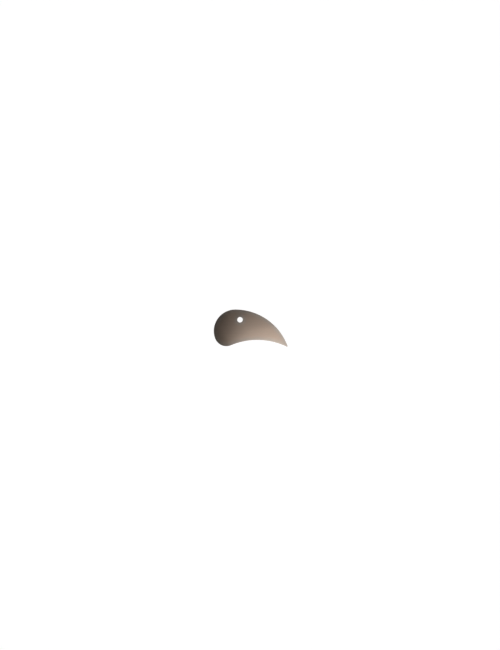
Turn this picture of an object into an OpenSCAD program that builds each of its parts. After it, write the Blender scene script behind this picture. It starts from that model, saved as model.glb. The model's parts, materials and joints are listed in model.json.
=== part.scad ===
// Pottery rib: a one-piece hand scraper, blanked from sheet steel in the shape of a comma.
// Five arcs make the outline. Each runs into the next without a corner.

/* [Blade] */
// Length from the round end to the tip
blade_length = 110; // [95:1:125]
// Width of the round end, from the crown of the back to the heel
round_width = 54.7; // [51:0.1:62]
// Depth of the tip's lowest point below the crown of the back
tip_drop = 55.6; // [48:0.1:64]
// Thickness of the sheet
sheet_thickness = 0.6; // [0.4:0.1:1.2]
// Width of the 45 degree break along every edge
edge_break = 0.1; // [0.05:0.01:0.15]

/* [Outline] */
// Radius of the head, where the back rolls over the round end
head_radius = 32; // [28:1:36]
// Radius of the heel, the lower corner of the round end
heel_radius = 18; // [12:1:22]
// Radius of the hollow edge between the heel and the tip
hollow_radius = 101; // [80:1:140]
// Radius of the tip
tip_radius = 0.8; // [0.5:0.1:3]

/* [Hanging hole] */
// Diameter of the hole
hole_diameter = 8; // [4:0.5:12]
// Distance from the round end to the hole's centre
hole_setback = 39.1; // [25:0.1:60]
// Depth of the hole's centre below the crown of the back
hole_depth = 15.3; // [10:0.1:24]

/* [Hidden] */
$fn = 180;
steel = [0.45, 0.41, 0.37];
// How far a cutter runs past a face, and a wedge past the outline
spare = 1;
reach = 20;

// Centre of the circle whose edge touches two others from outside, on the right of the way from a to b
function touching_centre(a, to_a, b, to_b) =
  let (
    gap = norm(b - a),
    way = (b - a) / gap,
    along = (to_a * to_a - to_b * to_b + gap * gap) / (2 * gap),
    aside = sqrt(to_a * to_a - along * along)
  )
  a + along * way + aside * [way.y, -way.x];

// Point on the line from one centre through another, at a distance from the first
function beyond(from, through, distance) =
  from + distance * (through - from) / norm(through - from);

// The outline is laid out from the crown. The back's centre lies straight below it, at the depth
// where its arc also touches the tip, to a thousandth of a millimetre.
tip_run = blade_length - head_radius - tip_radius;
tip_depth = tip_drop - tip_radius;
touching_back = (pow(tip_run, 2) + pow(tip_depth, 2) - pow(tip_radius, 2)) / (2 * (tip_depth - tip_radius));
back_radius = round(touching_back * 1000) / 1000;

// Centres of the arcs, with the back's own centre at the origin
back = [0, 0];
head = [0, back_radius - head_radius];
heel_drop = round_width - head_radius - heel_radius;
heel = head - [sqrt(pow(head_radius - heel_radius, 2) - pow(heel_drop, 2)), heel_drop];
tip = [tip_run, sqrt(pow(back_radius - tip_radius, 2) - pow(tip_run, 2))];
hollow = touching_centre(heel, heel_radius + hollow_radius, tip, tip_radius + hollow_radius);
hole = [hole_setback - head_radius, back_radius - hole_depth];
lowest = min(heel.y - heel_radius, tip.y - tip_radius);

// Points outside the outline, on the lines where one arc hands over to the next
above_crown = beyond(back, head, back_radius + reach);
beyond_cheek = beyond(head, heel, head_radius + reach);
beyond_tip = beyond(back, tip, back_radius + reach);
left_of_head = -head_radius - reach;

// Section of a round piece of sheet, from its centre to its broken edge
module disc_section(r) {
  polygon([
    [0, 0],
    [r - edge_break, 0],
    [r, edge_break],
    [r, sheet_thickness - edge_break],
    [r - edge_break, sheet_thickness],
    [0, sheet_thickness]
  ]);
}

// Section of a round cutter that leaves a broken edge behind
module cutter_section(r) {
  flare = r + edge_break + spare;
  polygon([
    [0, -spare],
    [flare, -spare],
    [r, edge_break],
    [r, sheet_thickness - edge_break],
    [flare, sheet_thickness + spare],
    [0, sheet_thickness + spare]
  ]);
}

// Puts its children at a point in a coarse, a fine and a last small step, which keeps every decimal,
// so that arcs which touch there meet exactly
module place(point) {
  coarse = [round(point.x), round(point.y)];
  fine = [round((point.x - coarse.x) * 10000), round((point.y - coarse.y) * 10000)] / 10000;
  translate(coarse) translate(fine) translate(point - coarse - fine) children();
}

module round_cutter(centre, r) {
  place(centre) rotate_extrude() cutter_section(r);
}

// The part of a round piece of sheet that lies within a wedge
module slice(centre, r, wedge) {
  intersection() {
    place(centre) rotate_extrude() disc_section(r);
    linear_extrude(height = sheet_thickness) polygon(wedge);
  }
}

module back_slice() {
  slice(back, back_radius, [head, tip, beyond_tip, [beyond_tip.x, above_crown.y], above_crown]);
}

module head_slice() {
  upper_left = [left_of_head, above_crown.y];
  lower_left = [left_of_head, heel.y];
  slice(head, head_radius, [head, above_crown, upper_left, lower_left, beyond_cheek, heel]);
}

module heel_slice() {
  slice(heel, heel_radius, [heel, beyond_cheek, [left_of_head, back.y], hollow]);
}

module tip_slice() {
  slice(tip, tip_radius, [tip, hollow, [tip.x + reach, back.y], beyond_tip]);
}

// Everything between the lines from centre to centre
module middle() {
  linear_extrude(height = sheet_thickness) polygon([hollow, tip, head, heel]);
}

module rib_blade() {
  middle_of_box = [blade_length / 2 - head_radius, (back_radius + lowest) / 2];
  color(steel) translate(-middle_of_box) difference() {
    union() {
      difference() {
        union() {
          middle();
          back_slice();
        }
        round_cutter(hollow, hollow_radius);
      }
      head_slice();
      heel_slice();
      tip_slice();
    }
    round_cutter(hole, hole_diameter / 2);
  }
}

rib_blade();
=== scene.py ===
import json
from math import atan2, ceil, pi, radians, sqrt, tau

import bmesh
import bpy
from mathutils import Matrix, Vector
from mathutils.kdtree import KDTree


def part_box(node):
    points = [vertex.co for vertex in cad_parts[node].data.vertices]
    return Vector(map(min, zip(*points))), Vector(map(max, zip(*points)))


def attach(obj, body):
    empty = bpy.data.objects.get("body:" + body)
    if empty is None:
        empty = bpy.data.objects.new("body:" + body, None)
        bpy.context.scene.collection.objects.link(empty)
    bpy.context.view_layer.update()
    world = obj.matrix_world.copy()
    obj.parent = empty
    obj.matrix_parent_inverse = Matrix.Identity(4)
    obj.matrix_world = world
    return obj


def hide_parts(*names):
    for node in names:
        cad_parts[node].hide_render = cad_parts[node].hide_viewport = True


perMetre = 1000  # the blade is worked out in millimetres

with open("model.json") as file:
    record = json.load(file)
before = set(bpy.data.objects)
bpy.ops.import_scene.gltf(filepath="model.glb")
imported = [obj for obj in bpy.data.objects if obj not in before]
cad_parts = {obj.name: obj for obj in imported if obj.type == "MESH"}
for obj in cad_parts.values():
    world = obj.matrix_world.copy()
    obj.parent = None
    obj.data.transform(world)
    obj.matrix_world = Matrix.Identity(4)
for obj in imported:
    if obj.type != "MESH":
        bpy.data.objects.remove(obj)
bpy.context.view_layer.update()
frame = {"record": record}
bladeLow, bladeHigh = (Vector(corner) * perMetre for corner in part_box("rib_blade"))
hangingHole = next(mount for mount in frame["record"]["mounts"] if mount["name"] == "hanging_hole")
print("frame loaded, blade", [round(side, 3) for side in bladeHigh - bladeLow], "mm")


def addObject(name, data):
    made = bpy.data.objects.new(name, data)
    bpy.context.scene.collection.objects.link(made)
    return made


# the camera looks straight down on the blade, from well back

view = {
    "lens": 85,
    "sensor": 36,
    "distance": 2.285,  # in metres, from the blade's upper face
    "aside": (-0.00104, 0.00470),  # from over the blade's middle, as the picture is framed
}

cameraData = bpy.data.cameras.new("overhead")
cameraData.lens = view["lens"]
cameraData.sensor_width = view["sensor"]
camera = addObject("overhead", cameraData)
camera.location = (*view["aside"], view["distance"] + bladeHigh.z / perMetre)
bpy.context.scene.camera = camera


# the blade, in millimetres, on the same five arcs as the sheet it is blanked from

blade = {
    "headRadius": 32,
    "heelRadius": 18,
    "hollowRadius": 101,
    "tipRadius": 0.8,
    "roundWidth": 54.7,  # from the crown of the back to the heel
    "chord": 0.9,  # longest step along the outline
    "turnStep": radians(6),  # largest step round the tip
    "holeSteps": 96,
    "rimRings": (0.22, 0.33),  # narrow flat rings that keep the faces' shading flat
    "gridStep": 2.5,  # spacing of the cuts, whose crossings hold the distance to the edge
    "snapReach": 0.05,  # a cut that passes a corner nearer than this goes through it
    "mergeReach": 0.04,  # points inside the face that lie nearer than this become one
    "cornerAngle": 1.0,  # in radians, and only the sheet's own corners are sharper
    "edgeRadius": 0.11,  # tumbled round, inside the sheet's own edge break
    "edgeSteps": 4,
}


def bearing(start, end):
    return atan2(end.y - start.y, end.x - start.x)


def clockwise(turn):
    return -(-turn % tau)


def touchingCentre(a, toA, b, toB):
    # centre of the circle that touches two others from outside, on the right of the way from a to b
    way = b - a
    gap = way.length
    way /= gap
    along = (toA**2 - toB**2 + gap**2) / (2 * gap)
    return a + way * along + Vector((way.y, -way.x)) * sqrt(toA**2 - along**2)


def outlineTurns():
    # where the outline starts, and the centre, radius and turn of each arc, clockwise from there
    tipRadius, headRadius = blade["tipRadius"], blade["headRadius"]
    heelRadius, hollowRadius = blade["heelRadius"], blade["hollowRadius"]
    tipRun = bladeHigh.x - bladeLow.x - headRadius - tipRadius
    tipDepth = bladeHigh.y - bladeLow.y - tipRadius
    backRadius = (tipRun**2 + tipDepth**2 - tipRadius**2) / (2 * (tipDepth - tipRadius))
    crown = Vector((bladeLow.x + headRadius, bladeHigh.y))
    back = crown - Vector((0, backRadius))
    head = crown - Vector((0, headRadius))
    heelDrop = blade["roundWidth"] - headRadius - heelRadius
    heel = head - Vector((sqrt((headRadius - heelRadius) ** 2 - heelDrop**2), heelDrop))
    tip = crown + Vector((tipRun, -tipDepth))
    hollow = touchingCentre(heel, heelRadius + hollowRadius, tip, tipRadius + hollowRadius)
    return crown, (
        (back, backRadius, clockwise(bearing(back, tip) - pi / 2)),
        (tip, tipRadius, clockwise(bearing(tip, hollow) - bearing(back, tip))),
        (hollow, hollowRadius, (bearing(hollow, heel) - bearing(hollow, tip)) % tau),
        (heel, heelRadius, clockwise(bearing(head, heel) - bearing(heel, hollow))),
        (head, headRadius, clockwise(pi / 2 - bearing(head, heel))),
    )


def onlyVerts(geometry):
    return [item for item in geometry if isinstance(item, bmesh.types.BMVert)]


def spinOutline(bm):
    crown, turns = outlineTurns()
    first = last = bm.verts.new((*crown, 0))
    for centre, radius, turn in turns:
        steps = ceil(max(radius * abs(turn) / blade["chord"], abs(turn) / blade["turnStep"]))
        spun = bmesh.ops.spin(
            bm, geom=[last], cent=(*centre, 0), axis=(0, 0, 1), angle=turn, steps=steps
        )
        last = onlyVerts(spun["geom_last"])[0]
    bmesh.ops.weld_verts(bm, targetmap={last: first})


def punchHole(bm):
    centre = Vector(hangingHole["pos_m"]).xy * perMetre
    made = bmesh.ops.create_circle(
        bm, segments=blade["holeSteps"], radius=hangingHole["dims"]["r_mm"]
    )
    bmesh.ops.translate(bm, vec=(*centre, 0), verts=made["verts"])


def fillSheet(bm):
    bmesh.ops.triangle_fill(bm, use_beauty=True, edges=bm.edges[:])
    flats, rings = bm.faces[:], set()
    for width in blade["rimRings"]:
        ring = bmesh.ops.inset_region(
            bm, faces=flats, thickness=width, use_even_offset=True, use_boundary=True
        )
        rings.update(ring["faces"])
    return rings


def cutGrid(bm, rings):
    for axis in (0, 1):
        span = bladeHigh[axis] - bladeLow[axis]
        cuts = int(span / blade["gridStep"])
        for cut in range(1, cuts):
            plane, normal = Vector(), Vector()
            plane[axis] = bladeLow[axis] + span * cut / cuts
            normal[axis] = 1
            flats = [face for face in bm.faces if face not in rings]
            parts = {}  # each one once, in a fixed order
            for face in flats:
                parts.update(dict.fromkeys((face, *face.edges, *face.verts)))
            bmesh.ops.bisect_plane(
                bm, geom=list(parts), dist=blade["snapReach"], plane_co=plane, plane_no=normal
            )
    inner = [vert for vert in bm.verts if not vert.is_boundary]
    bmesh.ops.remove_doubles(bm, verts=inner, dist=blade["mergeReach"])


def roundEdges(bm):
    corners = [edge for edge in bm.edges if edge.calc_face_angle(0) > blade["cornerAngle"]]
    bmesh.ops.bevel(
        bm,
        geom=corners,
        offset=blade["edgeRadius"],
        offset_type="OFFSET",
        segments=blade["edgeSteps"],
        profile=0.5,
        affect="EDGES",
        material=-1,
    )


def noteEdgeDistance(bm, rim):
    # the steel's wear reads this distance, in millimetres, from the outline or the hole
    finder = KDTree(len(rim))
    for number, point in enumerate(rim):
        finder.insert(point, number)
    finder.balance()
    toEdge = bm.verts.layers.float.new("toEdge")
    for vert in bm.verts:
        vert[toEdge] = finder.find(vert.co.xy.to_3d())[2]


def buildBlade():
    bm = bmesh.new()
    spinOutline(bm)
    punchHole(bm)
    rim = [vert.co.copy() for vert in bm.verts]
    cutGrid(bm, fillSheet(bm))
    sheet = bmesh.ops.extrude_face_region(bm, geom=bm.faces[:])
    bmesh.ops.translate(bm, vec=(0, 0, bladeHigh.z), verts=onlyVerts(sheet["geom"]))
    bmesh.ops.recalc_face_normals(bm, faces=bm.faces[:])
    roundEdges(bm)
    noteEdgeDistance(bm, rim)
    bmesh.ops.scale(bm, vec=(1 / perMetre,) * 3, verts=bm.verts[:])
    mesh = bpy.data.meshes.new("ribBlade")
    bm.to_mesh(mesh)
    bm.free()
    mesh.shade_smooth()
    return mesh


ribBlade = addObject("ribBlade", buildBlade())
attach(ribBlade, "root")
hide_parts("rib_blade")
print("blade modelled,", len(ribBlade.data.polygons), "faces")


# satin steel, brushed along its length

steel = {
    "filmDark": (0.53, 0.408, 0.325, 1),  # the middle keeps a thin warm film
    "filmLight": (0.67, 0.516, 0.411, 1),
    "bareDark": (0.506, 0.435, 0.379, 1),  # handling has worn the film off along the edges
    "bareLight": (0.639, 0.549, 0.478, 1),
    "bareReach": 8.0,  # in millimetres from an edge
    "bareWander": 4.5,
    "polishReach": 2.5,
    "polishWander": 2.5,
    "toneStart": -0.25,  # 0 is the dark colour and 1 the light one
    "fineTone": 0.7,  # how much each layer lightens the steel
    "broadTone": 0.5,
    "cloudTone": 0.3,
    "scratchTone": 0.35,
    "polishTone": 0.2,
    "roughness": 0.318,
    "roughSpread": 0.055,
    "polish": 0.012,
    "grainRubbed": 0.7,  # share of the grain that handling has smoothed at the very edge
    "anisotropy": 0.698,
    "fineGrain": (0.011, 0.00011),  # length and width of the brush lines, in metres
    "broadGrain": (0.050, 0.0007),
    "grainDetail": 2.0,
    "grainDepth": 0.000012,
    "cloud": (0.016, 0.016),  # size of the faint marks that handling leaves
    "cloudDetail": 4.0,
    "scratches": (  # length, width, turn in degrees
        (0.022, 0.00007, 4),
        (0.015, 0.00008, -11),
        (0.011, 0.00006, 27),
        (0.008, 0.00006, -46),
        (0.006, 0.00006, 79),
    ),
    "scratchLevel": (0.82, 0.92),  # only the noise's crests make a scratch
    "scratchDepth": 0.000005,
}


def emptyTree(owner):
    owner.use_nodes = True
    owner.node_tree.nodes.clear()
    return owner.node_tree


def addNode(tree, kind, inputs=None, **settings):
    made = tree.nodes.new(kind)
    for name, value in settings.items():
        setattr(made, name, value)
    for socket, value in (inputs or {}).items():
        if isinstance(value, bpy.types.NodeSocket):
            tree.links.new(value, made.inputs[socket])
        else:
            made.inputs[socket].default_value = value
    return made


def addMath(tree, operation, first, second, third=0.0):
    inputs = {0: first, 1: second, 2: third}
    return addNode(tree, "ShaderNodeMath", inputs, operation=operation).outputs[0]


def addVectorMath(tree, operation, first, second=(0.0, 0.0, 0.0)):
    inputs = {0: first, 1: second}
    return addNode(tree, "ShaderNodeVectorMath", inputs, operation=operation).outputs[0]


def remap(tree, value, low, high, atLow=0.0, atHigh=1.0, curve="SMOOTHSTEP"):
    inputs = {"Value": value, "From Min": low, "From Max": high, "To Min": atLow, "To Max": atHigh}
    return addNode(tree, "ShaderNodeMapRange", inputs, interpolation_type=curve).outputs[0]


def mixColours(tree, share, first, second):
    inputs = {0: share, 6: first, 7: second}  # the colour sockets of a Mix node
    return addNode(tree, "ShaderNodeMix", inputs, data_type="RGBA").outputs[2]


def addLayers(tree, total, *layers):
    # each layer comes with the share that it adds to the total
    for layer, share in layers:
        total = addMath(tree, "MULTIPLY_ADD", layer, share, total)
    return total


def streaks(tree, place, length, width, turn=0, detail=0.0):
    # noise drawn out into lines, which run along X before their turn
    turned = addNode(
        tree,
        "ShaderNodeMapping",
        {"Vector": place, "Rotation": (0, 0, radians(turn)), "Scale": (length, width, width)},
        vector_type="TEXTURE",
    )
    inputs = {"Vector": turned.outputs[0], "Scale": 1.0, "Detail": detail}
    return addNode(tree, "ShaderNodeTexNoise", inputs).outputs["Fac"]


def scratchLines(tree, place):
    lines = 0.0
    for length, width, turn in steel["scratches"]:
        noise = streaks(tree, place, length, width, turn)
        crest = remap(tree, noise, *steel["scratchLevel"], curve="LINEAR")
        lines = addMath(tree, "MAXIMUM", lines, crest)
    return lines


def nearEdge(tree, toEdge, shift, reach, wander):
    # 1 at the edge, 0 from the reach on, and the shift moves that limit to and fro
    distance = addLayers(tree, toEdge, (shift, wander))
    return remap(tree, distance, 0.0, reach, 1.0, 0.0)


def brushedSteel():
    material = bpy.data.materials.new("brushedSteel")
    tree = emptyTree(material)
    place = addNode(tree, "ShaderNodeTexCoord").outputs["Object"]
    fine = streaks(tree, place, *steel["fineGrain"], detail=steel["grainDetail"])
    broad = streaks(tree, place, *steel["broadGrain"], detail=steel["grainDetail"])
    cloud = streaks(tree, place, *steel["cloud"], detail=steel["cloudDetail"])
    scratched = scratchLines(tree, place)
    toEdge = addNode(tree, "ShaderNodeAttribute", attribute_name="toEdge").outputs["Fac"]
    shift = addMath(tree, "SUBTRACT", cloud, 0.5)  # the cloud noise swings about a half
    polished = nearEdge(tree, toEdge, shift, steel["polishReach"], steel["polishWander"])
    bare = nearEdge(tree, toEdge, shift, steel["bareReach"], steel["bareWander"])

    tone = addLayers(
        tree,
        steel["toneStart"],
        (fine, steel["fineTone"]),
        (broad, steel["broadTone"]),
        (cloud, steel["cloudTone"]),
        (scratched, steel["scratchTone"]),
        (polished, steel["polishTone"]),
    )
    film = mixColours(tree, tone, steel["filmDark"], steel["filmLight"])
    metal = mixColours(tree, tone, steel["bareDark"], steel["bareLight"])
    colour = mixColours(tree, bare, film, metal)

    spread = steel["roughSpread"]
    smoothest = steel["roughness"] - spread
    roughness = addLayers(
        tree, smoothest, (fine, spread), (cloud, spread), (polished, -steel["polish"])
    )

    rubbed = addLayers(tree, 1.0, (polished, -steel["grainRubbed"]))
    grain = addNode(
        tree,
        "ShaderNodeBump",
        {"Height": fine, "Distance": steel["grainDepth"], "Strength": rubbed},
    )
    marks = addNode(
        tree,
        "ShaderNodeBump",
        {
            "Height": scratched,
            "Distance": steel["scratchDepth"],
            "Strength": 1.0,
            "Normal": grain.outputs[0],
        },
        invert=True,
    )

    across = addNode(  # the gloss spreads across the brush lines
        tree,
        "ShaderNodeVectorTransform",
        {0: (0.0, 1.0, 0.0)},
        vector_type="VECTOR",
        convert_from="OBJECT",
        convert_to="WORLD",
    )
    shader = addNode(
        tree,
        "ShaderNodeBsdfPrincipled",
        {
            "Base Color": colour,
            "Metallic": 1.0,
            "Roughness": roughness,
            "Anisotropic": steel["anisotropy"],
            "Tangent": across.outputs[0],
            "Normal": marks.outputs[0],
        },
    )
    addNode(tree, "ShaderNodeOutputMaterial", {"Surface": shader.outputs[0]})
    return material


ribBlade.data.materials.append(brushedSteel())
print("steel finished")


# a pale table in a light tent with a dark top, and one soft lamp close by

studio = {
    "floorSize": 6.0,
    "floorGap": 0.00002,  # the floor lies a hair under the blade
    "floorColour": (0.9, 0.9, 0.9, 1),
    "floorGlow": 1.19,
    "floorShare": 0.8,  # how much of the glow shows, in place of the paint
    "tentColour": (1, 1, 1, 1),
    "folds": 4.5,  # the tent hangs in upright folds, some dim and some bright
    "foldStart": (0.0, 0.0, 3.1),
    "foldRange": (0.3, 0.7),  # noise levels of the dimmest fold and the brightest
    "foldDim": 0.12,
    "foldBright": 1.7,
    "top": 0.006,
    "topEdge": (0.08, 0.95),  # heights between which the tent fades to its dark top
    "topNarrow": 0.3,  # how much narrower that top is along the blade than across it
    "lampPlace": (0.0297, -0.0839, 0.1277),
    "lampSize": (0.096, 0.156),
    "lampPower": 0.0841,
}


def paleFloor():
    material = bpy.data.materials.new("paleFloor")
    tree = emptyTree(material)
    rays = addNode(tree, "ShaderNodeLightPath").outputs
    seen = addMath(tree, "MAXIMUM", rays["Is Camera Ray"], rays["Is Glossy Ray"])
    seen = addMath(tree, "MAXIMUM", seen, rays["Is Transmission Ray"])
    share = addMath(tree, "MULTIPLY", seen, studio["floorShare"])
    paint = addNode(tree, "ShaderNodeBsdfDiffuse", {"Color": studio["floorColour"]}).outputs[0]
    glow = addNode(tree, "ShaderNodeEmission", {"Strength": studio["floorGlow"]}).outputs[0]
    mixed = addNode(tree, "ShaderNodeMixShader", {0: share, 1: paint, 2: glow})
    addNode(tree, "ShaderNodeOutputMaterial", {"Surface": mixed.outputs[0]})
    return material


def layFloor():
    bm = bmesh.new()
    bmesh.ops.create_grid(bm, x_segments=1, y_segments=1, size=studio["floorSize"] / 2)
    bmesh.ops.translate(bm, vec=(0, 0, -studio["floorGap"]), verts=bm.verts[:])
    mesh = bpy.data.meshes.new("floor")
    bm.to_mesh(mesh)
    bm.free()
    mesh.materials.append(paleFloor())
    addObject("floor", mesh)


def hangTent():
    world = bpy.data.worlds.new("tent")
    tree = emptyTree(world)
    direction = addNode(tree, "ShaderNodeTexCoord").outputs["Generated"]
    around = addVectorMath(tree, "MULTIPLY", direction, (1.0, 1.0, 0.0))
    around = addVectorMath(tree, "NORMALIZE", around)
    around = addVectorMath(tree, "ADD", around, studio["foldStart"])
    inputs = {"Vector": around, "Scale": studio["folds"], "Detail": 0.0}
    fold = addNode(tree, "ShaderNodeTexNoise", inputs).outputs["Fac"]
    side = remap(tree, fold, *studio["foldRange"], studio["foldDim"], studio["foldBright"])

    split = addNode(tree, "ShaderNodeSeparateXYZ", {0: direction}).outputs
    lengthwise = addMath(tree, "MULTIPLY", split["X"], split["X"])
    height = addLayers(tree, split["Z"], (lengthwise, -studio["topNarrow"]))
    shade = remap(tree, height, *studio["topEdge"], side, studio["top"])
    rays = addNode(tree, "ShaderNodeLightPath").outputs
    light = addMath(tree, "MAXIMUM", shade, rays["Is Camera Ray"])
    inputs = {"Color": studio["tentColour"], "Strength": light}
    background = addNode(tree, "ShaderNodeBackground", inputs)
    addNode(tree, "ShaderNodeOutputWorld", {"Surface": background.outputs[0]})
    bpy.context.scene.world = world


def placeLamp():
    lampData = bpy.data.lights.new("softLamp", "AREA")
    lampData.shape = "RECTANGLE"
    lampData.size, lampData.size_y = studio["lampSize"]
    lampData.energy = studio["lampPower"]
    lamp = addObject("softLamp", lampData)
    lamp.location = studio["lampPlace"]
    lamp.rotation_euler = (-lamp.location).to_track_quat("-Z", "Y").to_euler()  # faces the blade
    lamp.visible_camera = False


layFloor()
hangTent()
placeLamp()
bpy.context.scene.view_settings.view_transform = "Standard"
print("studio set")
